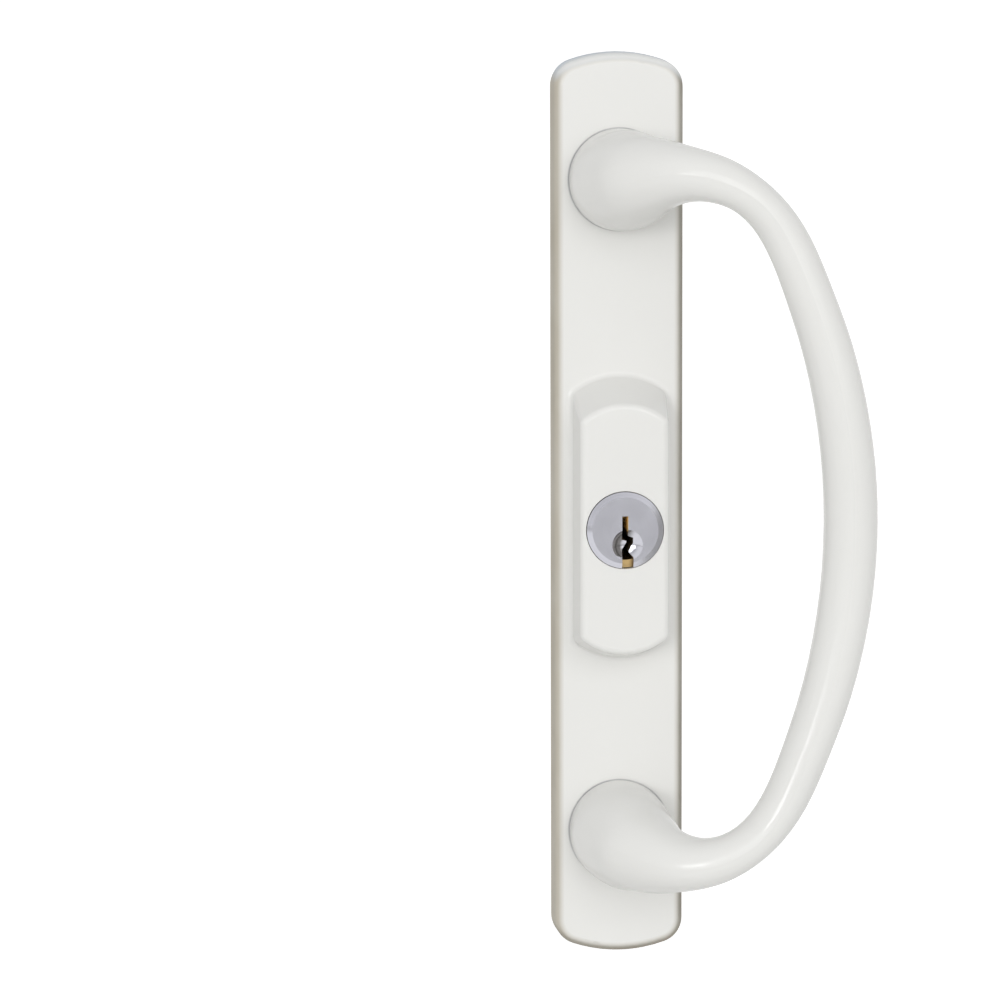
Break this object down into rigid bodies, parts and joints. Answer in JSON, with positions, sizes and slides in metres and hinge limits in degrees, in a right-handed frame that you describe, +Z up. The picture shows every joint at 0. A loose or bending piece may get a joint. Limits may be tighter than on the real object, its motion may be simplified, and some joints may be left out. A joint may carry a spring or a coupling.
{
  "type": "sliding patio door handle",
  "caption": "Outside pull handle for a sliding patio door: a tall arched plate with a bowed D pull, a raised lock housing and a turning key cylinder with its tailpiece.",
  "frame": {"origin": "middle of the plate on the door face (the plane of the plate's back rim)", "axes": "+Z up along the plate, +X to the side the pull bows to, +Y into the door; the front faces -Y"},
  "size_m": [0.0637, 0.0935, 0.1906],
  "materials": {
    "enamel": "smooth gloss white enamel",
    "chrome": "plated, lightly brushed face",
    "shell_brass": "machined",
    "pin_brass": "turned",
    "steel": "zinc plated",
    "spring_steel": "bright drawn"
  },
  "bodies": {
    "handle": {"outside_plate": "enamel", "pull_handle": "enamel", "foot_screws": "steel", "foot_washers": "steel", "door_posts": "steel", "cylinder_shell": "shell_brass", "cylinder_clamp": "steel", "cylinder_screws": "steel", "chamber_cover": "pin_brass", "driver_pin_1": "pin_brass", "pin_spring_1": "spring_steel", "driver_pin_2": "pin_brass", "pin_spring_2": "spring_steel", "driver_pin_3": "pin_brass", "pin_spring_3": "spring_steel", "driver_pin_4": "pin_brass", "pin_spring_4": "spring_steel", "driver_pin_5": "pin_brass", "pin_spring_5": "spring_steel"},
    "key_turn_group": {"key_plug": "chrome", "plug_clip": "spring_steel", "tailpiece": "steel", "tailpiece_pin": "steel", "key_pin_1": "pin_brass", "key_pin_2": "pin_brass", "key_pin_3": "pin_brass", "key_pin_4": "pin_brass", "key_pin_5": "pin_brass"}
  },
  "joints": [
    {"name": "key_turn", "type": "hinge", "parent": "handle", "child": "key_turn_group", "pos_m": [0, -0.0208, -0.00355], "axis": [0, -1, 0], "range_deg": [-90, 90]}
  ]
}
